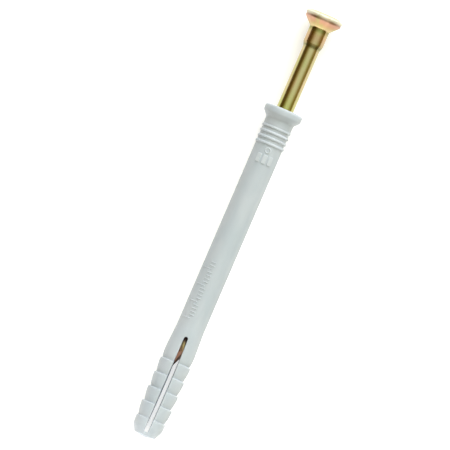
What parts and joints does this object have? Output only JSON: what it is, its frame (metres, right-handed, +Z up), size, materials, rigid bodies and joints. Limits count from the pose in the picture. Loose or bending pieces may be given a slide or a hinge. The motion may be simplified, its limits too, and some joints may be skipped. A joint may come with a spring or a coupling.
{
  "type": "hammer-in wall plug",
  "caption": "Hammer-in wall plug: a grey plastic sleeve with flared collar, grip rings and split barbed legs, and a yellow zinc-plated countersunk nail started in its bore.",
  "frame": {"origin": "on the surface that the plug lies on, under the middle of its overall length and width", "axes": "+X along the plug towards the nail's head, +Z up, with the slot between the legs in the upright plane; the plug's own axis rises by about 0.7 degrees towards the head, because it lies on its collar and on the legs' barbs"},
  "size_m": [0.1292, 0.0112, 0.0114],
  "materials": {
    "sleeve_plastic": "satin moulded plastic, light grey with a faint green cast",
    "yellow_zinc": "yellow zinc plating, iridescent from straw to pink and green"
  },
  "bodies": {
    "root": {"sleeve": "sleeve_plastic", "nail": "yellow_zinc"}
  },
  "joints": []
}
